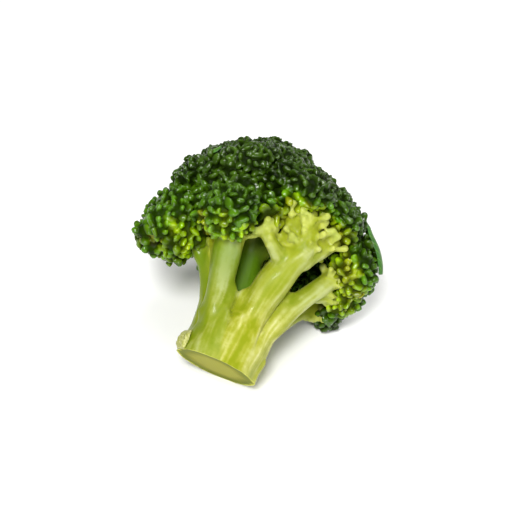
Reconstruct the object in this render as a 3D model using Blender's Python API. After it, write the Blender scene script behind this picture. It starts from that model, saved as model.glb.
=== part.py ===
"""Broccoli head, cut from its plant and lying on its side.

The head is modelled upright, as it grew: the middle of the cut face is at the
origin, the stalk runs up +Z, -Y is the side that ends up on top and +Y the side
that it lies on. lay_down() then turns it onto the edge of its cut face and its
back florets, with the middle of its footprint at the origin. All in metres.
"""

import math

import bmesh
import bpy
from mathutils import Matrix, Vector, noise
from mathutils.bvhtree import BVHTree

MM = 0.001
GAP = 0.3 * MM  # clearance between neighbouring pieces

# Main stalk, from the cut face up to where the branches part.
STALK_HEIGHT = 26
STALK_RADIUS = 21.4
STALK_LEAN = 3.2  # towards +X, over its height
# shares of (lean, height, radius)
STALK_PROFILE = ((0, 0, 1), (0, 0.25, 0.985), (0.6, 0.65, 0.99), (1, 1, 0.93))

# The lying pose
AXIS_RISE = math.radians(22.9)  # the stalk's slope above the surface
AXIS_ROLL = math.radians(17.5)  # its turn about its own length
BRUISE = 0.3 * MM  # how deep the cut face's edge is pressed flat
SURFACE_SIZE = 0.4  # side and depth of the block that stands for the surface

# Stems are tubes with a ring of corners about every STEM_STEP.
STEM_STEP = 7 * MM
STEM_BEVEL = 4  # 12 sides
STALK_BEVEL = 8  # 20 sides
WELD = 0.01 * MM
SHARP_ANGLE = math.radians(50)

# Florets are icospheres squared up into cushions and slightly lumpy.
FLORET_SUBDIVISIONS = 3
CUSHION_POWER = 2.6  # 2 is an ellipsoid, more is squarer
CUSHION_REACH = 1.15  # a cushion's corners reach this many radii from its middle
LUMP_HEIGHT = 1.3 * MM
LUMP_PITCH = 11 * MM
CROWN_ROOT = Vector((-4, 2, 50)) * MM  # every floret faces away from this point

# Branches off the stalk, each a route of (x, y, z, radius) in millimetres.
BRANCHES = {
    "branch_core": ((0, 1, 18, 9), (-4, 3, 45, 8), (-8, 2, 70, 7), (-10, -1, 98, 5)),
    "branch_centre": (
        (5, -8, 14, 10),
        (6.8, -12, 34, 8.6),
        (9.6, -17, 48, 9.4),
        (12.5, -21.5, 58, 8.6),
        (16.5, -26, 66, 6.6),
        (16, -30, 76, 5.6),
        (11, -32, 88, 4.6),
    ),
    "branch_left_front": (
        (-9, -9, 14, 7.6),
        (-13.5, -12, 31, 6.6),
        (-16.9, -18, 43, 6.1),
        (-19.5, -24, 53, 6.6),
        (-23, -29, 62, 6),
    ),
    "branch_left": (
        (-14, -2, 16, 6.4),
        (-16.5, -2.5, 29, 5.3),
        (-20, -4, 38, 5.2),
        (-25, -5.5, 46, 5),
        (-33, -7, 52, 4.8),
        (-42, -8, 56, 4.2),
    ),
    "branch_right": (
        (12, -5, 16, 7.2),
        (19, -7, 32, 6.8),
        (23, -8, 42, 6.2),
        (28.5, -8, 51, 5.6),
        (35, -8.5, 62, 5.2),
        (39, -8.5, 70, 4.6),
    ),
    "branch_back_right": (
        (13, 6, 16, 6.4),
        (20, 10, 33, 5.4),
        (27, 14, 45, 4.6),
        (34, 18, 52, 3.8),
        (41, 22, 56, 3.2),
    ),
    "branch_back": (
        (2, 11, 16, 7.2),
        (3, 16, 38, 6.2),
        (7, 22, 56, 5.2),
        (10, 28, 66, 4.4),
    ),
    "branch_back_left": (
        (-9.5, 10, 15, 6.8),
        (-13, 14, 36, 5.8),
        (-17, 23, 50, 5),
        (-19, 32, 59, 4.2),
    ),
}

# Smaller stems that fork off a branch, one for each floret that no branch ends in.
BRANCHLETS = {
    "branchlet_front_centre": ((11, -22, 57, 4.8), (1.5, -30.5, 63, 3.8), (-7, -34, 67.5, 3)),
    "branchlet_right_upper": ((15, -23, 59, 5), (25, -23, 72, 4.4), (32, -18, 84, 3.6)),
    "branchlet_right_low": ((27, -8, 49, 4), (36, -3, 56, 3.4), (43, 3, 61, 2.8)),
    "branchlet_left_upper": ((-31, -7, 51, 4.2), (-36, -10, 66, 3.8), (-41, -12, 82, 3.2)),
    "branchlet_left_back": ((-12, 13, 34, 4.8), (-26, 16, 52, 4.2), (-40, 16, 65, 3.4)),
    "branchlet_front_upper": ((-8, 0, 66, 4.8), (-17, -13, 82, 4.2), (-23, -21, 91, 3.4)),
    "branchlet_top_left": ((-8, 2, 62, 4.6), (-20, 4, 78, 4.2), (-31, 6, 92, 3.4)),
    "branchlet_top_back": ((-7, 4, 64, 4.6), (-8, 15, 80, 4.2), (-8, 24, 93, 3.4)),
    "branchlet_top_right": ((-6, 2, 60, 4.6), (7, 4, 80, 4.2), (16, 7, 95, 3.4)),
    "branchlet_back_upper_left": ((-15, 19, 44, 4.4), (-22, 23, 60, 4), (-29, 27, 76, 3.2)),
    "branchlet_back_upper_right": ((6, 20, 52, 4.4), (14, 23, 68, 4), (20, 27, 82, 3.2)),
    "branchlet_right_back": ((26, 13, 44, 4), (33, 17, 57, 3.6), (38, 20, 70, 3)),
}

# Florets: the middle of each, its radius across its stem and its half-thickness along it,
# (x, y, z, radius, half-thickness) in millimetres.
FLORETS = {
    "floret_left": (-48, -6, 62, 22.5, 18),
    "floret_left_front": (-24, -37, 68.5, 17.5, 14),
    "floret_left_upper": (-43, -12, 89, 19.5, 14),
    "floret_front_centre": (-7.5, -32, 74, 12, 10),
    "floret_front_right": (6, -32, 97, 18, 12),
    "floret_front_upper": (-24, -24, 101, 20, 13),
    "floret_top": (-13, -5, 112.5, 21, 13),
    "floret_right_upper": (27.5, -17, 94.5, 18.5, 12.5),
    "floret_right": (44, -8, 77, 18.5, 14),
    "floret_right_low": (46, 4, 65, 13.5, 12),
    "floret_hanging": (43.5, 21.5, 57, 10, 9.5),
    "floret_right_back": (37, 15, 79, 18, 13),
    "floret_back": (10, 33, 72, 17, 13),
    "floret_back_left": (-20, 40, 67, 16.5, 13),
    "floret_left_back": (-47, 14, 71, 19, 14),
    "floret_top_back": (-1, 18, 105, 20, 13),
    "floret_top_right": (21, 3, 99, 19.5, 13),
    "floret_top_left": (-34, 4, 105, 20, 13),
    "floret_back_upper_left": (-32, 25, 87, 19, 13),
    "floret_back_upper_right": (19, 26, 90, 19, 13),
}

# Scars left where leaves were cut off the stalk: middle and half-sizes in millimetres.
LEAF_SCARS = {
    "leaf_scar_left": ((-19.2, -7, 4.8), (3.6, 5.5, 4.5)),
    "leaf_scar_back": ((9, 19.5, 15), (6.5, 3.6, 5)),
}

# name: colour (linear), roughness
FINISHES = {
    "stalk_skin": ((0.42, 0.47, 0.10), 0.42),
    "branch_skin": ((0.34, 0.42, 0.06), 0.42),
    "floret_buds": ((0.045, 0.11, 0.018), 0.38),
    "leaf_scar_skin": ((0.36, 0.36, 0.09), 0.55),
}


def clear_scene():
    for item in list(bpy.data.objects):
        bpy.data.objects.remove(item, do_unlink=True)


def new_collection(name):
    made = bpy.data.collections.new(name)
    bpy.context.scene.collection.children.link(made)
    return made


def finish(name):
    """A Principled material, made once for each piece that asks for it."""
    colour, roughness = FINISHES[name]
    made = bpy.data.materials.new(name)
    made.use_nodes = True
    shader = made.node_tree.nodes["Principled BSDF"]
    shader.inputs["Base Color"].default_value = (*colour, 1)
    shader.inputs["Roughness"].default_value = roughness
    shader.inputs["Metallic"].default_value = 0
    made.diffuse_color = (*colour, 1)
    return made


def new_object(name, data, collection):
    made = bpy.data.objects.new(name, data)
    collection.objects.link(made)
    return made


def smooth_route(corners):
    """Points and radii on a smooth curve through the corners, about STEM_STEP apart."""
    knots = [Vector(corner) * MM for corner in corners]
    knots = [knots[0] * 2 - knots[1]] + knots + [knots[-1] * 2 - knots[-2]]
    found = []
    for a, b, c, d in zip(knots, knots[1:], knots[2:], knots[3:]):
        steps = max(1, round((c.xyz - b.xyz).length / STEM_STEP))
        for i in range(steps):
            t = i / steps
            found.append(
                (2 * b + (c - a) * t + (2 * a - 5 * b + 4 * c - d) * t**2
                 + (3 * b - a - 3 * c + d) * t**3) / 2
            )
    return found + [knots[-2]]


def stem_mesh(name, corners, bevel):
    """A closed tapering tube along the corners, as a mesh."""
    route = smooth_route(corners)
    curve = bpy.data.curves.new(name, "CURVE")
    curve.dimensions = "3D"
    curve.bevel_depth = 1
    curve.bevel_resolution = bevel
    curve.use_fill_caps = True
    spline = curve.splines.new("POLY")
    spline.points.add(len(route) - 1)
    for point, place in zip(spline.points, route):
        point.co = (*place.xyz, 1)
        point.radius = place.w
    guide = new_object(name + "_guide", curve, bpy.context.scene.collection)
    bpy.context.view_layer.update()
    graph = bpy.context.evaluated_depsgraph_get()
    mesh = bpy.data.meshes.new_from_object(guide.evaluated_get(graph))
    mesh.name = name
    bpy.data.objects.remove(guide)
    bpy.data.curves.remove(curve)
    shape = bmesh.new()
    shape.from_mesh(mesh)
    bmesh.ops.remove_doubles(shape, verts=shape.verts, dist=WELD)
    bmesh.ops.recalc_face_normals(shape, faces=shape.faces)
    shape.to_mesh(mesh)
    shape.free()
    return mesh


def add_cutter(name, mesh, cutters):
    """A copy of a stem that stands GAP proud of it all round, for cutting its neighbours."""
    cutter = new_object(name + "_cutter", mesh.copy(), cutters)
    swell = cutter.modifiers.new("gap", "DISPLACE")
    swell.strength = GAP
    swell.mid_level = 0
    cutter.hide_render = True
    cutter.display_type = "WIRE"
    return cutter


def cut(piece, cutter):
    boolean = piece.modifiers.new("clear_of_" + cutter.name, "BOOLEAN")
    boolean.operation = "DIFFERENCE"
    boolean.solver = "EXACT"
    boolean.object = cutter


def cut_clear(piece, cutters):
    """Cuts a new piece clear of every stem whose surface it meets."""
    bpy.context.view_layer.update()
    graph = bpy.context.evaluated_depsgraph_get()
    skin = BVHTree.FromObject(piece, graph)
    for cutter in cutters.objects:
        if skin.overlap(BVHTree.FromObject(cutter, graph)):
            cut(piece, cutter)


def add_stem(name, corners, bevel, skin, collection, cutters):
    """One stem, cut clear of the stems made before it."""
    mesh = stem_mesh(name, corners, bevel)
    stem = new_object(name, mesh, collection)
    stem.data.materials.append(finish(skin))
    cut_clear(stem, cutters)
    add_cutter(name, mesh, cutters)
    mesh.shade_smooth()
    mesh.set_sharp_from_angle(angle=SHARP_ANGLE)
    return stem


def add_stalk(collection, cutters):
    """The main stalk, straight-cut at the bottom."""
    corners = [
        (lean * STALK_LEAN, 0, height * STALK_HEIGHT, radius * STALK_RADIUS)
        for lean, height, radius in STALK_PROFILE
    ]
    return add_stem("stalk", corners, STALK_BEVEL, "stalk_skin", collection, cutters)


def trim(shape, middle, radius, others):
    """Cuts a floret back at the plane where it meets each neighbour."""
    for other, other_radius in others:
        apart = other - middle
        distance = apart.length
        if distance > CUSHION_REACH * (radius + other_radius):
            continue
        meets = (distance**2 + radius**2 - other_radius**2) / (2 * distance) - GAP / 2
        outward = apart / distance
        cut_edges = bmesh.ops.bisect_plane(
            shape,
            geom=shape.verts[:] + shape.edges[:] + shape.faces[:],
            dist=WELD,
            plane_co=middle + outward * meets,
            plane_no=outward,
            clear_outer=True,
        )["geom_cut"]
        edges = [e for e in cut_edges if isinstance(e, bmesh.types.BMEdge)]
        if edges:
            bmesh.ops.edgeloop_fill(shape, edges=edges)


def add_floret(name, collection, cutters):
    """One floret: a flattened, lumpy ball, cut clear of its neighbours and of every stem."""
    *place, across, half_thickness = FLORETS[name]
    middle, radius, thickness = Vector(place) * MM, across * MM, half_thickness * MM
    facing = (middle - CROWN_ROOT).normalized()
    turn = facing.to_track_quat("Z", "Y").to_matrix()
    shape = bmesh.new()
    bmesh.ops.create_icosphere(shape, subdivisions=FLORET_SUBDIVISIONS, radius=1)
    for vertex in shape.verts:
        ray = vertex.co.copy()
        around = math.hypot(ray.x, ray.y)
        swell = (around**CUSHION_POWER + abs(ray.z) ** CUSHION_POWER) ** (-1 / CUSHION_POWER)
        cushion = Vector((ray.x * radius, ray.y * radius, ray.z * thickness)) * swell
        lump = LUMP_HEIGHT * noise.noise((cushion + middle) / LUMP_PITCH)
        vertex.co = turn @ (cushion + ray * lump) + middle
    neighbours = [
        (Vector(other[:3]) * MM, other[3] * MM) for key, other in FLORETS.items() if key != name
    ]
    trim(shape, middle, radius, neighbours)
    bmesh.ops.recalc_face_normals(shape, faces=shape.faces)
    mesh = bpy.data.meshes.new(name)
    shape.to_mesh(mesh)
    shape.free()
    mesh.materials.append(finish("floret_buds"))
    mesh.shade_smooth()
    mesh.set_sharp_from_angle(angle=SHARP_ANGLE)
    floret = new_object(name, mesh, collection)
    cut_clear(floret, cutters)
    return floret


def add_leaf_scar(name, collection, cutters):
    """A low swelling on the stalk where a leaf was cut off."""
    place, half = LEAF_SCARS[name]
    shape = bmesh.new()
    bmesh.ops.create_icosphere(shape, subdivisions=FLORET_SUBDIVISIONS, radius=1)
    bmesh.ops.scale(shape, vec=Vector(half) * MM, verts=shape.verts)
    bmesh.ops.translate(shape, vec=Vector(place) * MM, verts=shape.verts)
    mesh = bpy.data.meshes.new(name)
    shape.to_mesh(mesh)
    shape.free()
    mesh.materials.append(finish("leaf_scar_skin"))
    mesh.shade_smooth()
    scar = new_object(name, mesh, collection)
    cut_clear(scar, cutters)
    return scar


def world_corners(items):
    """Every corner of the pieces, as they stand with their cuts."""
    bpy.context.view_layer.update()
    graph = bpy.context.evaluated_depsgraph_get()
    for item in items:
        shown = item.evaluated_get(graph)
        for vertex in shown.to_mesh().vertices:
            yield shown.matrix_world @ vertex.co
        shown.to_mesh_clear()


def lay_down(parts, stalk, cutters):
    """Turns the head onto its side, presses it flat where it bears on the surface at z = 0."""
    pose = new_object("lying_pose", None, bpy.context.scene.collection)
    for item in [*parts.objects, *cutters.objects]:
        item.parent = pose
    turn = Matrix.Rotation(AXIS_RISE - math.pi / 2, 4, "X") @ Matrix.Rotation(AXIS_ROLL, 4, "Z")
    pose.rotation_euler = turn.to_euler()
    pose.location.z = -BRUISE - min(corner.z for corner in world_corners([stalk]))

    surface_mesh = bpy.data.meshes.new("surface_cutter")
    shape = bmesh.new()
    bmesh.ops.create_cube(shape, size=SURFACE_SIZE)
    shape.to_mesh(surface_mesh)
    shape.free()
    surface = new_object("surface_cutter", surface_mesh, cutters)
    surface.location.z = -SURFACE_SIZE / 2
    surface.hide_render = True
    surface.display_type = "WIRE"
    for part in parts.objects:
        if min(corner.z for corner in world_corners([part])) < 0:
            cut(part, surface)

    found = list(world_corners(parts.objects))
    for axis in (0, 1):
        places = [corner[axis] for corner in found]
        pose.location[axis] = -(min(places) + max(places)) / 2


def build():
    clear_scene()
    parts = new_collection("broccoli_head")
    cutters = new_collection("cutters")
    stalk = add_stalk(parts, cutters)
    for name, corners in [*BRANCHES.items(), *BRANCHLETS.items()]:
        add_stem(name, corners, STEM_BEVEL, "branch_skin", parts, cutters)
    for name in LEAF_SCARS:
        add_leaf_scar(name, parts, cutters)
    for name in FLORETS:
        add_floret(name, parts, cutters)
    lay_down(parts, stalk, cutters)


build()
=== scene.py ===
"""The looks of a fresh broccoli head: one grown stalk with its branches, and the buds that they carry."""

import math

import bmesh
import bpy
import numpy as np
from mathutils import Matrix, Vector, noise
from mathutils.bvhtree import BVHTree
from mathutils.kdtree import KDTree


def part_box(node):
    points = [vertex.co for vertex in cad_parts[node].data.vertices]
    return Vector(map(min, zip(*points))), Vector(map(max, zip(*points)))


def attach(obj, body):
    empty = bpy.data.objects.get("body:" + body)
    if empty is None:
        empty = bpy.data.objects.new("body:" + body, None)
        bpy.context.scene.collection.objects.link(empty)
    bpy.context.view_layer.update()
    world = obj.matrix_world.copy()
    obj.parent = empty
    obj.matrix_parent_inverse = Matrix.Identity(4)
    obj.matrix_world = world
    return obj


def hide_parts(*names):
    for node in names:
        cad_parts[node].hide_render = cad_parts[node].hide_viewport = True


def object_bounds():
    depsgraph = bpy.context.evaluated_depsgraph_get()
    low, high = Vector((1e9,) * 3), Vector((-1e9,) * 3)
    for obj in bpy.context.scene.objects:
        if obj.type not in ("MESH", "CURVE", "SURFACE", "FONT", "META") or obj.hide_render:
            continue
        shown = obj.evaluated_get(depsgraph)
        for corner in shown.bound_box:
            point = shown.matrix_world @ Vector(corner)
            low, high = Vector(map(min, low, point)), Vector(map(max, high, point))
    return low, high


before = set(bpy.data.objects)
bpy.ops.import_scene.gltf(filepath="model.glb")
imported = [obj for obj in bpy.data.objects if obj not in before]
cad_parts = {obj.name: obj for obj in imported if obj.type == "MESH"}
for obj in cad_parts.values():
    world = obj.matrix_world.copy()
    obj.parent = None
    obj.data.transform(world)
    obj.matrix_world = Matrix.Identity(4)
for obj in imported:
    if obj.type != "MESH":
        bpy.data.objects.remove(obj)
cad_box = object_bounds()

# ---------------------------------------------------------------------------------------------
# Stalk and branches. One grown piece of pale, juicy flesh under a thin waxy skin, with its foot sliced
# off by a knife. Each branch can be followed down the stalk as a low rib, and where two part the skin
# runs across the crotch without a seam.

MM = 0.001
RNG = np.random.default_rng(7)
STEMS = sorted(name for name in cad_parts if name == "stalk" or name.startswith("branch"))


def corners(mesh):
    """The mesh's corners, one row each."""
    found = np.empty(len(mesh.vertices) * 3, np.float32)
    mesh.vertices.foreach_get("co", found)
    return found.reshape(-1, 3).astype(float)


def normals(mesh):
    """The outward direction at each corner."""
    found = np.empty(len(mesh.vertices) * 3, np.float32)
    mesh.vertex_normals.foreach_get("vector", found)
    return found.reshape(-1, 3).astype(float)


def solid(node):
    """A node's shape as one welded mesh: corners, triangles and the outward direction at each corner."""
    shape = bmesh.new()
    shape.from_mesh(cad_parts[node].data)
    bmesh.ops.remove_doubles(shape, verts=shape.verts, dist=0.01 * MM)
    bmesh.ops.triangulate(shape, faces=shape.faces)
    mesh = bpy.data.meshes.new(node + "_solid")
    shape.to_mesh(mesh)
    shape.free()
    triangles = np.array([face.vertices[:] for face in mesh.polygons])
    return corners(mesh), triangles, normals(mesh)


def joined(shapes):
    """Several (corners, triangles) as one."""
    starts = np.cumsum([0] + [len(points) for points, _ in shapes])
    return (
        np.concatenate([points for points, _ in shapes]),
        np.concatenate([faces + start for (_, faces), start in zip(shapes, starts)]),
    )


def new_piece(name, points, faces):
    mesh = bpy.data.meshes.new(name)
    mesh.from_pydata(points.tolist(), [], faces.tolist())
    piece = bpy.data.objects.new(name, mesh)
    bpy.context.scene.collection.objects.link(piece)
    return piece


def apply_modifiers(piece):
    graph = bpy.context.evaluated_depsgraph_get()
    made = bpy.data.meshes.new_from_object(piece.evaluated_get(graph))
    piece.modifiers.clear()
    piece.data = made


def reskin(piece, face, rounds):
    """Leaves only the outer skin of what overlaps, in even faces, softened a little."""
    skin = piece.modifiers.new("skin", "REMESH")
    skin.mode = "VOXEL"
    skin.voxel_size = face
    soften = piece.modifiers.new("soften", "SMOOTH")
    soften.factor = 0.5
    soften.iterations = rounds
    apply_modifiers(piece)


def thin(piece, most):
    """Merges faces where the skin is smoothest, until at most so many triangles are left."""
    count = sum(len(face.vertices) - 2 for face in piece.data.polygons)
    thinner = piece.modifiers.new("thinner", "DECIMATE")
    thinner.ratio = min(1, most / count)
    apply_modifiers(piece)


SPECK = 80  # a loose bit with fewer corners is a leftover of the skinning


def drop_specks(piece):
    """Takes away the loose specks."""
    ends = np.empty(len(piece.data.edges) * 2, np.int32)
    piece.data.edges.foreach_get("vertices", ends)
    one, other = ends.reshape(-1, 2).T
    island, lowest = None, np.arange(len(piece.data.vertices))
    while island is None or (lowest != island).any():
        island, lowest = lowest, lowest.copy()
        np.minimum.at(lowest, one, island[other])
        np.minimum.at(lowest, other, island[one])
        lowest = lowest[lowest]
    specks = np.flatnonzero(np.bincount(island, minlength=len(island))[island] < SPECK)
    shape = bmesh.new()
    shape.from_mesh(piece.data)
    shape.verts.ensure_lookup_table()
    bmesh.ops.delete(shape, geom=[shape.verts[i] for i in specks], context="VERTS")
    shape.to_mesh(piece.data)
    shape.free()


def move(piece, offsets):
    """Moves each corner by its own offset."""
    piece.data.vertices.foreach_set("co", (corners(piece.data) + offsets).ravel())
    piece.data.update()


def fuse(piece, fillet, face, first, later):
    """Makes one skin of all that overlaps: it is swelled and drawn back, which fills each fork. The
    skin is softened by so many rounds at first, and by so many after each move."""
    reskin(piece, face, first)
    for grown_by in (fillet, -fillet):
        move(piece, normals(piece.data) * grown_by)
        reskin(piece, face, later)


def skin_of(piece):
    """A piece's corners and triangles."""
    piece.data.calc_loop_triangles()
    triangles = np.array([triangle.vertices[:] for triangle in piece.data.loop_triangles])
    return corners(piece.data), triangles


def unit(ways):
    """The same ways, each 1 long."""
    return ways / np.linalg.norm(ways, axis=1)[:, None]


def ramp(values, low, high):
    """0 below low, 1 above high, and an S between."""
    share = np.clip((values - low) / (high - low), 0, 1)
    return share * share * (3 - 2 * share)


def scattered(points, faces, count):
    """Points spread evenly at random over a surface, and the outward direction at each."""
    a, b, c = (points[faces[:, i]] for i in range(3))
    cross = np.cross(b - a, c - a)
    area = np.linalg.norm(cross, axis=1)
    chosen = RNG.choice(len(faces), count, p=area / area.sum())
    u, v = RNG.random((2, count, 1))
    over = u + v > 1
    u, v = np.where(over, 1 - u, u), np.where(over, 1 - v, v)
    places = a[chosen] + u * (b - a)[chosen] + v * (c - a)[chosen]
    return places, (cross / np.maximum(area, 1e-20)[:, None])[chosen]


solids = {name: solid(name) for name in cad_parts}

# The cut: the widest flat of the stalk says where its middle is and which way the stalk grows.
FLAT = 0.999  # faces whose outward directions agree this much lie on one flat
stalk_points, stalk_faces, _ = solids["stalk"]
edge_a, edge_b = (stalk_points[stalk_faces[:, i]] - stalk_points[stalk_faces[:, 0]] for i in (1, 2))
facing = np.cross(edge_a, edge_b)
area = np.linalg.norm(facing, axis=1)
facing /= area[:, None]
flat_area = [(area * (facing @ way > FLAT)).sum() for way in facing]
cut_way = facing[int(np.argmax(flat_area))]
on_cut = facing @ cut_way > FLAT
cut_middle = np.average(stalk_points[stalk_faces[on_cut]].mean(1), axis=0, weights=area[on_cut])
grows = -cut_way

# Routes. Each stem's middle is found slice by slice, and a branch that starts low is followed down to
# the cut.
SLICE = 5 * MM
ROUTE_STEP = 1.5 * MM
STRAIGHTENED = 30  # rounds of smoothing of the route
STARTS_LOW = 30 * MM
FOOT_DRAWN_IN = 0.8  # it meets the cut this share as far out as it starts


def route(name):
    """Points up the middle of a stem, ROUTE_STEP apart, and its mean radius."""
    points, _ = scattered(*solids[name][:2], 3000)
    middle = points.mean(0)
    long_way = np.linalg.svd(points - middle, full_matrices=False)[2][0]
    long_way *= np.sign(long_way @ (middle - cut_middle))
    along = (points - middle) @ long_way
    edges = np.arange(along.min(), along.max() + SLICE, SLICE)
    which = np.digitize(along, edges)
    middles = np.array([points[which == i].mean(0) for i in np.unique(which)])
    radius = np.linalg.norm(points - middles[np.searchsorted(np.unique(which), which)], axis=1).mean()
    root = middles[0] - cut_middle
    root_height = root @ grows
    if name.startswith("branch_") and root_height < STARTS_LOW:
        foot = cut_middle + FOOT_DRAWN_IN * (root - grows * root_height)
        middles = np.vstack([foot, middles])
    lengths = np.r_[0, np.cumsum(np.linalg.norm(np.diff(middles, axis=0), axis=1))]
    steps = np.arange(0, lengths[-1], ROUTE_STEP)
    line = np.stack([np.interp(steps, lengths, middles[:, i]) for i in range(3)], 1)
    for _ in range(STRAIGHTENED):
        line[1:-1] += ((line[:-2] + line[2:]) / 2 - line[1:-1]) / 2
    return line, radius


routes = {name: route(name) for name in STEMS if name != "stalk"}


def tree_of(points, faces):
    return BVHTree.FromPolygons(points.tolist(), faces.tolist())


def gaps_to(tree, places, limit):
    """How far each place is outside the surface in the tree, up to the limit; below 0 is inside."""
    found = []
    for place in places:
        hit, way, _, gap = tree.find_nearest(place, limit)
        found.append(limit if hit is None else math.copysign(gap, (Vector(place) - hit) @ way))
    return np.array(found)


def spaced(places, gaps):
    """Picks places, in order, that keep their own gap to all picked before."""
    cell = gaps.max()
    picked, cells = [], {}
    for i, place in enumerate(places.tolist()):
        key = tuple(int(v // cell) for v in place)
        near = (
            j
            for dx in (-1, 0, 1)
            for dy in (-1, 0, 1)
            for dz in (-1, 0, 1)
            for j in cells.get((key[0] + dx, key[1] + dy, key[2] + dz), ())
        )
        if all(math.dist(place, places[j]) > (gaps[i] + gaps[j]) / 2 for j in near):
            picked.append(i)
            cells.setdefault(key, []).append(i)
    return np.array(picked, int)


FALLS = (0.3, 0.6, 0.9, 1.3, 2.0)  # how far each line of sight goes down for every step out
SIGHT = 60 * MM


def sky_below(tree, places):
    """The share of the lines of sight out and down from each place that meet no floret."""
    outward = places - cut_middle
    outward -= (outward @ grows)[:, None] * grows
    outward = unit(outward)
    open_share = np.zeros(len(places))
    for fall in FALLS:
        for i, way in enumerate(outward - fall * grows):
            open_share[i] += tree.ray_cast(places[i], way, SIGHT)[0] is None
    return open_share / len(FALLS)


# Pedicels: under its floret each stem forks into a broom of them, with a short stub at each fork.
FLORETS = sorted(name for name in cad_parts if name.startswith("floret"))
PEDICEL_ROOT = 2.5 * MM  # radius where it leaves the stem
PEDICEL_TIP = 1.35 * MM
PEDICEL_SPACING = 7 * MM  # between tips
PEDICEL_LEVEL = -0.3  # tips end on the part of the floret that faces this far back down its stem
PEDICEL_SINK = 5 * MM  # its tip stays this far inside the floret's outline
PEDICEL_SKY = 0.5  # they grow where more than this share of the sky below shows
PEDICEL_BEND = 0.55  # the share of its length at which it bends away from its stem
PEDICEL_RIPE = 0.35  # how green its tip is
PALE_FROM, PALE_TO = 0.2, 0.8  # the shares of its length between which its skin turns pale
STUB_LENGTH = 4.2 * MM
STUB_SPACING = 4 * MM
STUBS_FROM, STUBS_TO = 0.35, 0.98  # the shares of a pedicel's length between which they grow
STUB_RIPE = 0.2  # how much greener its tip is
REACH = 12 * MM  # a broom starts this far below its floret
LONG_REACH = {"floret_front_right": 24 * MM, "floret_right_upper": 20 * MM, "floret_front_centre": 8 * MM}
FAN = ("floret_front_right", "floret_right_upper")  # their brooms grow together into one webbed fan
RIM_HEIGHT = 82 * MM  # florets with their middle above this hide their brooms behind those below
FAN_SPACING = 5.5 * MM
FAN_WEB = 1.3 * MM  # the fan's pedicels are webbed where a ball of this radius won't go in
FAN_FACE = 0.8 * MM
FAN_TOP = 84 * MM  # its pedicels end no higher up the head than this
# These stems' skin is painted this much greener and darker. It is painted shade, strongest on the inner stems
# that lie deep in the head.
PAINTED_SHADE = {"branch_core": 0.75, "branch_back": 0.4, "branch_left_front": 0.36, "branch_left": 0.36}
RING = 8  # corners round a pedicel
ACROSS = (0.31, 0.57, 0.76)  # nothing grows this way, so each ring's first corner can be turned from it


def tube(middles, radii):
    """A closed tube along a path, with its own radius at each point."""
    tangents = unit(np.gradient(middles, axis=0))
    side = unit(np.cross(tangents, ACROSS))
    other_side = np.cross(tangents, side)
    turns = np.linspace(0, math.tau, RING, endpoint=False)[:, None]
    spokes = np.cos(turns) * side[:, None] + np.sin(turns) * other_side[:, None]
    rings = middles[:, None] + radii[:, None, None] * spokes
    ends = middles[[0, -1]] + tangents[[0, -1]] * radii[[0, -1], None] * [[-0.6], [0.6]]
    count = len(middles)
    start, step = np.meshgrid(np.arange(count - 1) * RING, np.arange(RING), indexing="ij")
    a, b = (start + step).ravel(), (start + (step + 1) % RING).ravel()
    sides = np.vstack([np.stack([a, b, b + RING], 1), np.stack([a, b + RING, a + RING], 1)])
    around = np.arange(RING)
    beyond = (around + 1) % RING
    last = (count - 1) * RING
    low = np.stack([beyond, around, np.full(RING, count * RING)], 1)
    high = np.stack([last + around, last + beyond, np.full(RING, count * RING + 1)], 1)
    return np.vstack([rings.reshape(-1, 3), ends]), np.vstack([sides, low, high])


def bent(start, bend, end):
    """Points along a smooth bend, about 1 mm apart."""
    length = np.linalg.norm(bend - start) + np.linalg.norm(end - bend)
    share = np.linspace(0, 1, max(4, int(length / MM)))[:, None]
    return start * (1 - share) ** 2 + bend * 2 * share * (1 - share) + end * share**2, share[:, 0]


tubes, fan_tubes = [], []
tube_middles, tube_ripe, tube_pale = [], [], []


def grow(kept, middles, radii, ripe, pale):
    """Adds a pedicel, stub or knob to those kept, with how green and how pale its skin is along it."""
    kept.append(tube(middles, radii))
    tube_middles.append(middles)
    tube_ripe.append(np.broadcast_to(ripe, len(middles)))
    tube_pale.append(np.broadcast_to(pale, len(middles)))


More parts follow.
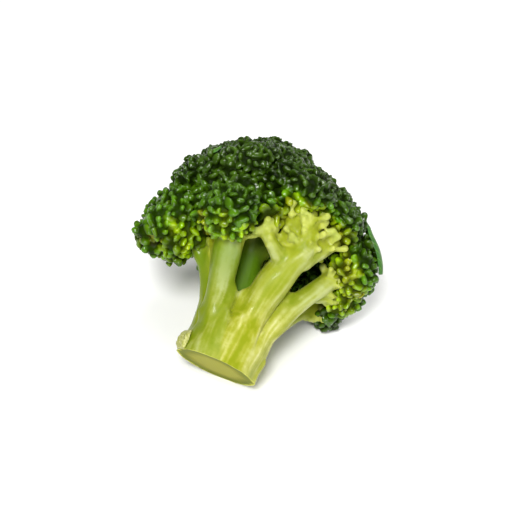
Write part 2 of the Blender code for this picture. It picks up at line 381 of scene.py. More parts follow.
floret_trees = {name: tree_of(*solids[name][:2]) for name in FLORETS}
all_florets = tree_of(*joined([solids[name][:2] for name in FLORETS]))
axes = {}  # the way each floret grows from its broom
roots = {}  # where each broom starts
for name in FLORETS:
    points, faces, _ = solids[name]
    middle = points.mean(0)
    feeder = min(routes, key=lambda stem: np.linalg.norm(routes[stem][0][-1] - middle))
    path, _ = routes[feeder]
    inside = np.flatnonzero(gaps_to(floret_trees[name], path, SIGHT) < 0)
    entry = inside[0] if len(inside) else len(path) - 1
    first = max(0, entry - int(LONG_REACH.get(name, REACH) / ROUTE_STEP))
    root = path[first]
    axes[name] = (middle - root) / np.linalg.norm(middle - root)
    if (middle - cut_middle) @ grows > RIM_HEIGHT and name not in FAN:
        continue
    tips, ways = scattered(points, faces, 4000)
    low = ways @ axes[name] < PEDICEL_LEVEL
    if name in FAN:
        low &= (tips - cut_middle) @ grows < FAN_TOP
    tips, ways = tips[low], ways[low]
    seen = sky_below(all_florets, tips + ways * 2 * MM) > PEDICEL_SKY
    tips, ways = tips[seen], ways[seen]
    for other in FLORETS:
        if other != name:
            free = gaps_to(floret_trees[other], tips, 5 * MM) > 0
            tips, ways = tips[free], ways[free]
    if not len(tips):
        continue
    roots[name] = root
    # The pedicels start from their stem's painted shade.
    green = PAINTED_SHADE.get(feeder, 0)
    picked = spaced(tips, np.full(len(tips), FAN_SPACING if name in FAN else PEDICEL_SPACING))
    for tip in tips[picked] - ways[picked] * PEDICEL_SINK:
        leave = path[RNG.integers(first, max(first + 1, (first + entry) // 2 + 1))]
        heading = path[min(entry, len(path) - 1)] - root
        heading = heading / max(np.linalg.norm(heading), 1e-9)
        length = np.linalg.norm(tip - leave)
        line, share = bent(leave, leave + heading * PEDICEL_BEND * length, tip)
        radii = PEDICEL_ROOT + (PEDICEL_TIP - PEDICEL_ROOT) * share
        ripe, pale = green + PEDICEL_RIPE * share**3, ramp(share, PALE_FROM, PALE_TO)
        if name in FAN:
            grow(fan_tubes, line, radii, ripe, pale)
            continue
        grow(tubes, line, radii, ripe, pale)
        for at in np.arange(STUBS_FROM, STUBS_TO, STUB_SPACING / length):
            i = int(at * (len(line) - 1))
            onward = line[min(i + 1, len(line) - 1)] - line[i - 1]
            onward /= np.linalg.norm(onward)
            aside = np.cross(onward, RNG.normal(0, 1, 3))
            aside /= np.linalg.norm(aside)
            stub_end = line[i] + (0.6 * onward + 0.8 * aside) * STUB_LENGTH * RNG.uniform(0.8, 1.2)
            stub, stub_share = bent(line[i], line[i] + aside * STUB_LENGTH * 0.5, stub_end)
            swollen = PEDICEL_TIP * (0.9 + 0.5 * ramp(stub_share, 0.5, 0.9))
            ripe = green + PEDICEL_RIPE * at**3 + STUB_RIPE * at * stub_share
            grow(tubes, stub, swollen, ripe, ramp(at, PALE_FROM, PALE_TO))

fan = new_piece("fan", *joined(fan_tubes))
fuse(fan, FAN_WEB, FAN_FACE, 2, 2)
closed_fan = skin_of(fan)
tubes.append(closed_fan)
bpy.data.objects.remove(fan)

# Webs: neighbours that part late, how far over to the other a web lies, from and to which height, and its
# radius there. The last two swell a branch towards its forks.
WEBS = (
    ("branch_left", "branch_left_front", 0.5, (20 * MM, 60 * MM), (5.5 * MM, 1.4 * MM)),
    ("branch_centre", "branch_right", 0.5, (20 * MM, 50 * MM), (7.5 * MM, 1.9 * MM)),
    ("branch_centre", "branchlet_right_upper", 0.5, (62 * MM, 80 * MM), (6.5 * MM, 1.6 * MM)),
    ("branch_centre", "branchlet_front_centre", 0.5, (54 * MM, 62 * MM), (5.5 * MM, 1.4 * MM)),
    ("branch_left_front", "branch_centre", 0.5, (15 * MM, 41 * MM), (6.5 * MM, 1.6 * MM)),
    ("branch_left_front", "branch_centre", 0.12, (24 * MM, 68 * MM), (5.5 * MM, 5.5 * MM)),
)
webs = []
for one, other, over, (low, top), (wide, narrow) in WEBS:
    levels = np.arange(low, top, MM)
    pair = []
    for path, _ in (routes[one], routes[other]):
        up = (path - cut_middle) @ grows
        pair.append(np.stack([np.interp(levels, up, path[:, i]) for i in range(3)], 1))
    line = (1 - over) * pair[0] + over * pair[1]
    webs.append(tube(line, wide + (narrow - wide) * np.linspace(0, 1, len(line)) ** 2))

CROTCH = 2.4 * MM  # radius of the fillet where branches part
CROTCH_FACE = 0.8 * MM
EVENED = 16  # rounds of smoothing, which even out the crotches
OVERRUN = 3 * MM  # the stalk is grown this far past its cut and then cut back
stalk_points = stalk_points.copy()
at_foot = (stalk_points - cut_middle) @ grows < 0.1 * MM
stalk_points[at_foot] += cut_way * OVERRUN
shapes = [(stalk_points, stalk_faces)] + [solids[name][:2] for name in STEMS if name != "stalk"]
stems = new_piece("stalk_and_branches", *joined(shapes + webs))
fuse(stems, CROTCH, CROTCH_FACE, EVENED, 1)

# Knobs: short fat stubs all over the fan and just under the other florets, longer and closer towards them.
KNOB_REACH = 15 * MM  # they start this far under the fan's florets
SHORT_REACH = 4 * MM  # and this far under the others
BARE = ("floret_front_centre", "floret_hanging")  # the stems of these stay smooth
BARE_WIDTH = 5.5 * MM  # and so does the twig, this far from its middle
KNOB_SPACING = 4.4 * MM
KNOB_RADIUS = (1.2 * MM, 2.0 * MM)  # at its root, at its end
KNOB_LENGTH = (1.8 * MM, 5.2 * MM)  # far from a floret, close to it
KNOB_RISE = 0.25  # none grows flatter than this against the stalk's length
KNOB_SKY = 0.3  # they grow where more than this share of the sky below shows
KNOB_SUNK = 2.5 * MM  # and may start this far inside a floret's outline
KNOB_RIPE = 0.8  # how green the longest one's end is
FLORET_WIDTH = 22 * MM  # no floret is wider than this from its middle
broom_skin = new_piece("broom_skin", *joined([skin_of(stems), closed_fan]))
reskin(broom_skin, FAN_FACE, 2)
spots, ways = scattered(*skin_of(broom_skin), 50000)
bpy.data.objects.remove(broom_skin)
nearness, starts = np.zeros(len(spots)), np.zeros((len(spots), 3))
for name, root in roots.items():
    if name in BARE:
        continue
    reach = KNOB_REACH if name in FAN else SHORT_REACH
    from_middle = np.linalg.norm(spots - solids[name][0].mean(0), axis=1)
    close = np.flatnonzero(from_middle < FLORET_WIDTH + reach)
    share = 1 - np.clip(gaps_to(floret_trees[name], spots[close], 20 * MM) / reach, 0, 1)
    nearest = share > nearness[close]
    nearness[close[nearest]] = share[nearest]
    starts[close[nearest]] = root
twig = routes["branchlet_front_centre"][0]
nearness[np.linalg.norm(spots[:, None] - twig, axis=2).min(1) < BARE_WIDTH] = 0
free = np.flatnonzero(nearness > 0)
free = free[gaps_to(all_florets, spots[free], 20 * MM) > -KNOB_SUNK]
free = free[sky_below(all_florets, spots[free] + ways[free] * 2 * MM) > KNOB_SKY]
spots, ways, nearness, starts = spots[free], ways[free], nearness[free], starts[free]
heading = 0.7 * ways + 0.8 * unit(spots - starts)
rising = heading @ grows > KNOB_RISE
spots, ways, nearness, heading = spots[rising], ways[rising], nearness[rising], heading[rising]
picked = spaced(spots, KNOB_SPACING * (1.25 - 0.3 * nearness))
for spot, way, near, toward in zip(spots[picked], ways[picked], nearness[picked], heading[picked]):
    length = (KNOB_LENGTH[0] + (KNOB_LENGTH[1] - KNOB_LENGTH[0]) * near) * RNG.uniform(0.75, 1.25)
    knob, share = bent(spot - way * MM, spot + way * 0.6 * length, spot + toward * length)
    swollen = KNOB_RADIUS[0] + (KNOB_RADIUS[1] - KNOB_RADIUS[0]) * ramp(share, 0.4, 0.9)
    grow(tubes, knob, swollen * (0.75 + 0.35 * near), KNOB_RIPE * near * share**2, ramp(near, 0, 0.5))

# The twig ends in a fork: one knob goes on aside and down, one up and out.
TWIG_KNOBS = ((5.5, -3.0, 4.0), (2.0, 5.5, 6.0))  # mm aside, up and out
TWIG_RIPE = 0.6
aside = solids["floret_left_front"][0].mean(0) - twig[-1]
aside -= (aside @ grows) * grows
aside /= np.linalg.norm(aside)
outward = np.cross(grows, aside)
outward *= np.sign(outward @ (twig[-1] - cut_middle))
knob_ends = [twig[-1] + (over * aside + up * grows + out * outward) * MM for over, up, out in TWIG_KNOBS]
for end in knob_ends:
    knob, share = bent(twig[-3], twig[-1] + 0.4 * (end - twig[-1]), end)
    grow(tubes, knob, (1.6 + 0.7 * ramp(share, 0.6, 0.95)) * MM, TWIG_RIPE * share**2, share)

FORK = 0.6 * MM  # radius of the fillet where pedicels part
FORK_FACE = 0.55 * MM
STEM_FACE = 0.65 * MM  # on the finished skin
thick = skin_of(stems)
bpy.data.objects.remove(stems)
stems = new_piece("stalk_and_branches", *joined([thick] + tubes))
fuse(stems, FORK, FORK_FACE, 1, 1)
reskin(stems, STEM_FACE, 2)

# Ribs and grain follow the stems' own middles, and on the stalk each branch's goes on down to the cut.
RIB_WIDTH = 8 * MM
RIB_LENGTH = 45 * MM
RIB_HEIGHT = 0.144  # of the stem's radius
GRAIN_WIDTH = 1.5 * MM
GRAIN_LENGTH = 16 * MM
GRAIN_HEIGHT = 0.10 * MM
STEM_BLEND = 1.5 * MM  # over about this distance one stem's grain gives way to the next one's
GROOVE_WIDTH = 2 * MM  # the groove between two branches that run down the stalk side by side
GROOVE_DEPTH = 3 * MM
GROOVE_FOOT = (6 * MM, 30 * MM)  # it deepens between these heights
GROOVE_TOP = (45 * MM, 62 * MM)  # and runs out between these
PEEL = 1.2 * MM  # a strip of thick peel is left by the cut, on the side away from the leaf scar
PEEL_TOP = 13 * MM
PEEL_EDGE = 0.86  # its edges are where the way round is this much like its middle's
GREENER = 0.36  # the branches' skin holds this much more green than the stalk's
GREENS = (24 * MM, 52 * MM)  # and turns to it between these heights


def noise_at(places):
    return np.array([noise.noise(place) for place in places])


def grain_at(points):
    """Rib and grain values at each point, drawn out along the nearest stem, that stem's radius, and how
    near the point is to the groove between two stems."""
    gaps, offsets, radii = [], [], []
    for middles, radius in routes.values():
        apart = np.linalg.norm(points[:, None] - middles[None], axis=2)
        nearest = apart.argmin(1)
        tangents = unit(np.gradient(middles, axis=0))
        across = points - middles[nearest]
        tangent = tangents[nearest]
        across -= tangent * (across * tangent).sum(1)[:, None]
        gaps.append(apart.min(1) - radius)
        offsets.append((across, tangent, nearest * ROUTE_STEP))
        radii.append(radius)
    gaps = np.array(gaps)
    shares = np.exp(-(gaps - gaps.min(0)) / STEM_BLEND)
    shares /= shares.sum(0)
    ribs, grain = np.zeros((2, len(points)))
    for i, (across, tangent, run) in enumerate(offsets):
        near = shares[i] > 0.08
        seed = np.array([7.3, 2.1, 5.7]) * i
        rib_place = across[near] / RIB_WIDTH + tangent[near] * (run[near] / RIB_LENGTH)[:, None] + seed
        grain_place = across[near] / GRAIN_WIDTH + tangent[near] * (run[near] / GRAIN_LENGTH)[:, None] + seed
        ribs[near] += shares[i][near] * noise_at(rib_place)
        grain[near] += shares[i][near] * noise_at(grain_place)
    two_nearest = np.sort(gaps, axis=0)[:2]
    groove = np.exp(-(two_nearest[1] - two_nearest[0]) / GROOVE_WIDTH)
    return ribs, grain, shares.T @ np.array(radii), groove


def set_values(piece, **values):
    """Gives each corner of the piece a named number that its material reads."""
    for name, found in values.items():
        layer = piece.data.attributes.new(name, "FLOAT", "POINT")
        layer.data.foreach_set("value", np.asarray(found, np.float32))


def nearest_of(places, points, count=1):
    """Which of the places are nearest to each point: a row of count for each."""
    tree = KDTree(len(places))
    for i, place in enumerate(places):
        tree.insert(place, i)
    tree.balance()
    return np.array([[found[1] for found in tree.find_n(point, count)] for point in points])


points = corners(stems.data)
height = (points - cut_middle) @ grows
ribs, grain, stem_radius, groove = grain_at(points)

# How green and how pale the skin is: as along the nearest pedicels, knobs and stems.
# Each stem's own middle carries its painted shade.
for name, (path, _) in routes.items():
    tube_middles.append(path)
    tube_ripe.append(np.full(len(path), PAINTED_SHADE.get(name, 0)))
    tube_pale.append(np.zeros(len(path)))
nearest = nearest_of(np.concatenate(tube_middles), points, 12)
ripe = np.concatenate(tube_ripe)[nearest].mean(1)
pale = np.concatenate(tube_pale)[nearest].mean(1)
ripe += GREENER * ramp(height, *GREENS) * (1 - pale)

# How far a knob stands out, as a share of STANDS. The knobs' skin is painted by it: darker olive in the pits
# between them, which is painted shade, and paler towards their ends.
STANDS = 2 * MM
knobbed = np.flatnonzero(pale > 0.05)
stand = np.zeros(len(points))
stand[knobbed] = gaps_to(tree_of(*joined([thick, closed_fan])), points[knobbed], 3 * MM) / STANDS
set_values(stems, rib=0.5 + ribs, grain=0.5 + grain, ripe=ripe, pale=pale, stand=np.clip(stand, 0, 1))

relief = stem_radius * RIB_HEIGHT * ribs + GRAIN_HEIGHT * grain
around = unit(points - cut_middle - height[:, None] * grows)
scarred = solids["leaf_scar_left"][0].mean(0) - cut_middle
scarred -= (scarred @ grows) * grows
ragged = height + 2 * MM * noise_at(points / (3 * MM))
peel = ramp(around @ scarred / -np.linalg.norm(scarred), PEEL_EDGE - 0.08, PEEL_EDGE)
relief += PEEL * peel * (1 - ramp(ragged, PEEL_TOP - 1.5 * MM, PEEL_TOP))
relief -= GROOVE_DEPTH * groove * ramp(height, *GROOVE_FOOT) * (1 - ramp(height, *GROOVE_TOP))
move(stems, normals(stems.data) * relief[:, None])

# The knife's cut: what is past it goes, and its face is laid in rings, a little hollow inside the tough rim.
STEM_TRIANGLES = 185_000
RINGS = (0.985, 0.96, 0.93, 0.89, 0.83, 0.75, 0.65, 0.52, 0.38, 0.22)  # shares of the way from its middle
HOLLOW = 0.35 * MM
HOLLOW_EDGE = 4  # mm in from the rim at which it is that deep


def settle(piece):
    """Presses what reaches past the knife's cut or the surface it lies on flat against it."""
    points = corners(piece.data)
    points -= np.maximum((points - cut_middle) @ cut_way, 0)[:, None] * cut_way
    points[:, 2] = np.maximum(points[:, 2], 0)
    move(piece, points - corners(piece.data))


thin(stems, STEM_TRIANGLES)
drop_specks(stems)
shape = bmesh.new()
shape.from_mesh(stems.data)
everything = [*shape.verts, *shape.edges, *shape.faces]
bmesh.ops.bisect_plane(shape, geom=everything, plane_co=cut_middle, plane_no=cut_way, clear_outer=True)
hub_place = Vector(cut_middle)
edge = shape.verts.layers.float.new("edge")
rim = [loop for line in shape.edges if line.is_boundary for loop in line.link_loops]
pairs = [(loop.link_loop_next.vert, loop.vert) for loop in rim]
last = {vertex: vertex for pair in pairs for vertex in pair}
laid = []
for share in RINGS:
    following = {}
    for vertex in last:
        inner = shape.verts.new(hub_place + (vertex.co - hub_place) * share, vertex)
        inner[edge] = (vertex.co - inner.co).length / MM
        inner.co += Vector(grows) * HOLLOW * min(1, inner[edge] / HOLLOW_EDGE) ** 2
        following[vertex] = inner
    for one, other in pairs:
        laid.append(shape.faces.new((last[one], last[other], following[other], following[one])))
    last = following
hub = shape.verts.new(hub_place + Vector(grows) * HOLLOW, next(iter(last)))
hub[edge] = np.mean([vertex[edge] for vertex in last.values()])
for one, other in pairs:
    laid.append(shape.faces.new((last[one], last[other], hub)))
for face in laid:
    face.material_index = 1
shape.to_mesh(stems.data)
shape.free()
settle(stems)


def colour(hex_code):
    """A linear colour from its sRGB hex code."""
    shares = [int(hex_code[i:i + 2], 16) / 255 for i in (1, 3, 5)]
    linear = [s / 12.92 if s <= 0.04045 else ((s + 0.055) / 1.055) ** 2.4 for s in shares]
    return (*linear, 1)


def new_material(name, **constants):
    """A material, its node tree and its shader, with the shader's own inputs set as named."""
    made = bpy.data.materials.new(name)
    made.use_nodes = True
    shader = made.node_tree.nodes["Principled BSDF"]
    for key, value in constants.items():
        shader.inputs[key.replace("_", " ")].default_value = value
    return made, made.node_tree, shader


def add(tree, kind, settings=None, **links):
    """Adds a node with its own settings, and gives each input named a value or another node's output."""
    node = tree.nodes.new(kind)
    for key, value in (settings or {}).items():
        setattr(node, key, value)
    for key, value in links.items():
        socket = node.inputs[int(key[1:]) if key[1:].isdigit() else key.replace("_", " ")]
        if isinstance(value, bpy.types.NodeSocket):
            tree.links.new(value, socket)
        else:
            socket.default_value = value
    return node


def colours_along(tree, value, stops):
    """A colour ramp through (place, hex code) stops."""
    made = add(tree, "ShaderNodeValToRGB", Fac=value)
    band = made.color_ramp
    while len(band.elements) < len(stops):
        band.elements.new(0.5)
    for element, (place, code) in zip(band.elements, stops):
        element.position = place
        element.color = colour(code)
    return made.outputs["Color"]


# Waxy stem skin: a smooth, moist cuticle over pale flesh, so it glows a little and shines softly.
skin, tree, shader = new_material(
    "waxy_stem_skin",
    Roughness=0.42,
    IOR=1.4,
    Specular_IOR_Level=0.25,
    Subsurface_Weight=0.2,
    Subsurface_Radius=(1.0, 0.8, 0.2),
    Subsurface_Scale=1.5 * MM,
    Coat_Weight=0.12,
    Coat_Roughness=0.12,
)
rib_value, grain_value, ripe_value, pale_value, stand_value = (
    add(tree, "ShaderNodeAttribute", {"attribute_name": name}).outputs["Fac"]
    for name in ("rib", "grain", "ripe", "pale", "stand")
)
place = add(tree, "ShaderNodeTexCoord").outputs["Object"]
mottle = add(tree, "ShaderNodeTexNoise", Vector=place, Scale=1 / (5 * MM), Detail=4.0).outputs["Fac"]
ribbed = add(tree, "ShaderNodeMath", {"operation": "MULTIPLY"}, _0=rib_value, _1=0.45).outputs[0]
grained = add(tree, "ShaderNodeMath", {"operation": "MULTIPLY_ADD"}, _0=grain_value, _1=0.22, _2=ribbed)
streak = add(tree, "ShaderNodeMath", {"operation": "MULTIPLY_ADD"}, _0=mottle, _1=0.43, _2=grained.outputs[0])
streaks = [(0.35, "#848E0E"), (0.52, "#979B2A"), (0.66, "#AEAF56"), (0.82, "#C6C786")]
streaked = colours_along(tree, streak.outputs[0], streaks)
# Painted shade: the knob skin is dark olive where it barely stands out from the pits, and turns pale towards
# the knobs' ends.
knobs = colours_along(tree, stand_value, [(0.0, "#959C1E"), (0.35, "#ABB038"), (0.8, "#BEC25C")])
forked = add(tree, "ShaderNodeMix", {"data_type": "RGBA"}, _0=pale_value, _6=streaked, _7=knobs).outputs[2]
# The skin turns green with ripe. That green is the real green of the pedicels' and knobs' tips and of the
# upper branches, and painted shade on the inner and left branches.
base = add(tree, "ShaderNodeMix", {"data_type": "RGBA"}, _0=ripe_value, _6=forked, _7=colour("#567A0C"))
tree.links.new(base.outputs[2], shader.inputs["Base Color"])
pores = add(tree, "ShaderNodeTexNoise", Vector=place, Scale=1 / (0.6 * MM), Detail=3.0).outputs["Fac"]
bump = add(tree, "ShaderNodeBump", Height=pores, Strength=0.15, Distance=0.1 * MM)
tree.links.new(bump.outputs["Normal"], shader.inputs["Normal"])

# Cut flesh: wet, dull pith inside a darker ring of fibres and a bright rim of skin, with the knife's marks.
KNIFE_MARK = 1.6 * MM
flesh, tree, shader = new_material(
    "cut_flesh",
    Roughness=0.6,
    Specular_IOR_Level=0.12,
    Subsurface_Weight=0.15,
    Subsurface_Radius=(1.0, 0.8, 0.2),
    Subsurface_Scale=1.5 * MM,
)
place = add(tree, "ShaderNodeTexCoord").outputs["Object"]
edge_value = add(tree, "ShaderNodeAttribute", {"attribute_name": "edge"}).outputs["Fac"]
drawn = add(tree, "ShaderNodeMapping", Vector=place, Scale=(0.15, 1, 1)).outputs["Vector"]
fibres = add(tree, "ShaderNodeTexNoise", Vector=drawn, Scale=1 / (1.8 * MM), Detail=4.0).outputs["Fac"]
uneven = add(tree, "ShaderNodeMath", {"operation": "MULTIPLY_ADD"}, _0=fibres, _1=5.0, _2=edge_value)
inward = add(tree, "ShaderNodeMath", {"operation": "MULTIPLY"}, _0=uneven.outputs[0], _1=0.08)
rings = [(0.23, "#BFC148"), (0.33, "#6E7608"), (0.45, "#666E02"), (0.7, "#7E800E"), (1.0, "#98962E")]
tree.links.new(colours_along(tree, inward.outputs[0], rings), shader.inputs["Base Color"])
marks = add(tree, "ShaderNodeTexWave", Vector=place, Scale=0.3 / KNIFE_MARK, Distortion=3.0, Detail=2.0)
bump = add(tree, "ShaderNodeBump", Height=marks.outputs["Fac"], Strength=0.25, Distance=0.15 * MM)
tree.links.new(bump.outputs["Normal"], shader.inputs["Normal"])

stems.data.materials.append(skin)
stems.data.materials.append(flesh)
stems.data.shade_smooth()
stems.data.set_sharp_from_angle(angle=math.radians(55))
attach(stems, "root")
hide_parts(*STEMS)

# ---------------------------------------------------------------------------------------------
# Leaf scars. Each is the corky pad left on the stalk where a leaf was snapped off, and it has dried
# rough and pale.

SCAR_SPREAD = 1.2  # a pad has spread this much past its solid
SCAR_STRETCH = 1.3  # and is this much longer along the stalk than it is wide
SCAR_FACETS = ((1.9 * MM, 0.1), (2.6 * MM, 0.8), (2.8 * MM, -0.6))  # how far out a facet lies, its tilt
SCAR_FACE = 0.4 * MM
SCAR_LUMPS = 1.0 * MM  # how high they stand

# Dried leaf scar: cork of snapped fibres, matt and uneven, from dull green to straw.
cork, tree, shader = new_material("dried_leaf_scar", Roughness=0.6)
place = add(tree, "ShaderNodeTexCoord").outputs["Object"]
fibres = add(tree, "ShaderNodeTexNoise", Vector=place, Scale=1 / (1.2 * MM), Detail=4.0).outputs["Fac"]
base = colours_along(tree, fibres, [(0.3, "#7F8526"), (0.45, "#A3A550"), (0.58, "#B5B570"), (0.8, "#CFCD9E")])
tree.links.new(base, shader.inputs["Base Color"])
bump = add(tree, "ShaderNodeBump", Height=fibres, Strength=0.4, Distance=0.3 * MM)
tree.links.new(bump.outputs["Normal"], shader.inputs["Normal"])
for name in ("leaf_scar_left", "leaf_scar_back"):
    scar_points, scar_faces, _ = solids[name]
    scar_middle = scar_points.mean(0)
    outward = scar_middle - cut_middle
    outward -= (outward @ grows) * grows
    outward /= np.linalg.norm(outward)
    scar_points = scar_middle + (scar_points - scar_middle) * SCAR_SPREAD
    scar_points += ((scar_points - scar_middle) @ grows)[:, None] * grows * (SCAR_STRETCH - 1)
    for proud, tilt in SCAR_FACETS:
        facet = (outward + tilt * grows) / math.hypot(1, tilt)
        scar_points -= np.maximum((scar_points - scar_middle) @ facet - proud, 0)[:, None] * facet
    scar = new_piece(name + "_pad", scar_points, scar_faces)
    reskin(scar, SCAR_FACE, 2)
    lumpy = noise_at(corners(scar.data) / (5 * MM)) + 0.35 * noise_at(corners(scar.data) / (1.6 * MM))
    move(scar, normals(scar.data) * (SCAR_LUMPS * lumpy)[:, None])
    drop_specks(scar)
    settle(scar)
    scar.data.materials.append(cork)
    scar.data.shade_smooth()
    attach(scar, "root")
    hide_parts(name)

# ---------------------------------------------------------------------------------------------
# Florets. Each is a cushion of bud clusters, which swell against each other and leave dark crevices. The
# buds are tight and glossy, drawn coarser than real ones so that each shows. They are yellow-green where
# young, near the stems, and dark green on top.

FLORET_FACE = 0.48 * MM  # side of a face on the finished buds
FLORET_THINNED = 0.45  # the share of the triangles kept
HEART_FACE = 0.9 * MM
OUTLINE_FACE = 2 * MM
VALLEY = 7.5 * MM  # the clusters grow over the dips between florets that a ball of this radius won't go in
HEART_VALLEY = 11 * MM  # and of this one for the heart
CORE_DEPTH = 5 * MM  # the core lies this far inside the crown's outline, and the buds stand on it
UNDER_DEPTH = 3 * MM  # and this much further in underneath
UNDER_DEPTHS = {"floret_front_centre": 8 * MM, "floret_left": -2 * MM}  # but these
DROOP = {"floret_left": 3.5 * MM}  # it hangs so much lower
LOWEST = -0.75  # no cluster faces further back down its stem than this
LOWESTS = {  # but these
    "floret_front_right": -0.92,
    "floret_right_upper": -0.92,
    "floret_left": -0.95,
    "floret_front_centre": -0.25,
}
# These florets' buds are painted this much darker green than the rest, or lighter where the value is below 0.
BUDS_DARKER_BY = {"floret_hanging": 0.6, "floret_right": -0.05, "floret_right_upper": -0.1, "floret_left": -0.08}
HEART_DEPTH = 7.5 * MM  # the crown's heart fills it to this far inside the outline
HEART_RISE = 6 * MM  # and this much further in underneath
CLEARING = 5.5 * MM  # no bud grows this near to the twig's knobs
LUMP_SPACING = 9.0 * MM  # a cluster of buds
LUMP_RADIUS = 5 * MM
LUMP_SUNK = 1.3 * MM  # it stays this far inside the crown's outline
LUMP_TOP = (85 * MM, 105 * MM)  # between these heights the clusters rise by LUMP_RISE
LUMP_RISE = 0.9 * MM
BUD_SPACING = 3.7 * MM
BUD_PATCH = 9 * MM  # width of a patch of larger or smaller buds
BUD_TOP = (90 * MM, 112 * MM)  # between these heights the buds turn smaller, longer and flatter
BUD_RADIUS = 0.56  # of its spacing
BUD_RAISED = 0.55  # of its radius, from its core to its middle
PALEST_BUD = 0.15  # ripeness of the buds against the pedicels
RIPE_BUD = 0.66  # and of those far from them, low on the head
RIPEST_BUD = 1.0  # and on top
RIPENS = (55 * MM, 100 * MM)  # between these heights
YOUNG = 7.5 * MM  # how far from the stems the buds take to ripen
SLOW_TO = (76 * MM, 90 * MM)  # between these heights the slow ones catch up
TONE_PATCH = 13 * MM  # width of a patch of lighter or darker buds
SLOWER = {  # and how much further on the lower side of these
    "floret_front_right": 8 * MM,
    "floret_front_centre": 8 * MM,
    "floret_right_upper": 8 * MM,
    "floret_right": 3 * MM,
    "floret_right_low": 2 * MM,
}


def ball(detail):
    """Corners and triangles of a round ball of radius 1."""
    shape = bmesh.new()
    bmesh.ops.create_icosphere(shape, subdivisions=detail, radius=1)
    points = np.array([vertex.co[:] for vertex in shape.verts])
    faces = np.array([[vertex.index for vertex in face.verts] for face in shape.faces])
    shape.free()
    return points, faces


BALL_POINTS, BALL_FACES = ball(2)


def pebble(seed):
    """A bud's outline: a ball pressed out of round by its neighbours."""
    pressed = noise_at(BALL_POINTS + 13.7 * seed)
    return BALL_POINTS * (1 + 0.55 * pressed)[:, None]


PEBBLES = np.array([pebble(seed) for seed in range(16)])


def balls(middles, sizes, shapes, axes):
    """Corners and triangles of many pebbles, each with its own size along its own three axes."""
    points = np.einsum("nvi,nij->nvj", shapes * sizes[:, None, :], axes) + middles[:, None]
    faces = BALL_FACES[None] + (np.arange(len(middles)) * len(BALL_POINTS))[:, None, None]
    return points.reshape(-1, 3), faces.reshape(-1, 3)


def round_balls(middles, radii):
    """Plain round balls."""
    count = len(middles)
    axes = np.broadcast_to(np.eye(3), (count, 3, 3))
    shapes = np.broadcast_to(BALL_POINTS, (count, *BALL_POINTS.shape))
    return balls(middles, np.repeat(radii[:, None], 3, axis=1), shapes, axes)


def axes_about(outward, lean):
    """Three axes for each bud: two across it, turned at random, and one outward that leans a little."""
    outward = unit(outward + RNG.normal(0, lean, outward.shape))
    side = unit(np.cross(outward, RNG.normal(0, 1, outward.shape)))
    return np.stack([side, np.cross(outward, side), outward], 1)


def grown_over(valley):
    """The florets' outline with the dips between them filled, where a ball of that radius won't go in."""
    outline = new_piece("outline", *joined([solids[name][:2] for name in FLORETS]))
    fuse(outline, valley, OUTLINE_FACE, 2, 2)
    return outline


# The crown's heart fills it from within, so that little light comes through between the florets.
crown = grown_over(HEART_VALLEY)
sunk = HEART_DEPTH + HEART_RISE * ramp(-(normals(crown.data) @ grows), 0, 0.5)
move(crown, -normals(crown.data) * sunk[:, None])
reskin(crown, 1.5 * MM, 4)
heart = skin_of(crown)
bpy.data.objects.remove(crown)

crown = grown_over(VALLEY)
crown_outline = tree_of(*skin_of(crown))
places, ways = scattered(*skin_of(crown), 15000)
bpy.data.objects.remove(crown)
picked = spaced(places, LUMP_SPACING * (1 + 0.25 * noise_at(places / (30 * MM))))
places, ways = places[picked], ways[picked]
belongs = np.array([gaps_to(floret_trees[name], places, 1) for name in FLORETS]).argmin(0)

# Each floret's core: its own shape drawn in, with its share of the bud clusters on it.
cores = {}
for index, name in enumerate(FLORETS):
    points, faces, outward = solids[name]
    if name == "floret_front_centre":
        axes[name] = grows
    under = ramp(-(outward @ axes[name]), 0.0, 0.7)
    depth = CORE_DEPTH + UNDER_DEPTHS.get(name, UNDER_DEPTH) * under
    mine = (belongs == index) & (ways @ axes[name] > LOWESTS.get(name, LOWEST))
    mine &= np.linalg.norm(places[:, None] - knob_ends, axis=2).min(1) > CLEARING + LUMP_RADIUS / 2
    spots, spot_ways = places[mine], ways[mine]
    size = LUMP_RADIUS * RNG.uniform(0.85, 1.15, len(spots))
    sunk = LUMP_SUNK - LUMP_RISE * ramp((spots - cut_middle) @ grows, *LUMP_TOP)
    sunk -= DROOP.get(name, 0) * ramp(-(spot_ways @ grows), -0.2, 0.6)
    lump_middles = spots - spot_ways * (size + sunk)[:, None]
    lump_roots = lump_middles + (points.mean(0) - lump_middles) * 0.35
    lumps = round_balls(np.vstack([lump_middles, lump_roots]), np.r_[size, size])
    core = new_piece(name + "_core", *joined([(points - outward * depth[:, None], faces), lumps]))
    reskin(core, 1 * MM, 4)
    cores[name] = skin_of(core)
    bpy.data.objects.remove(core)

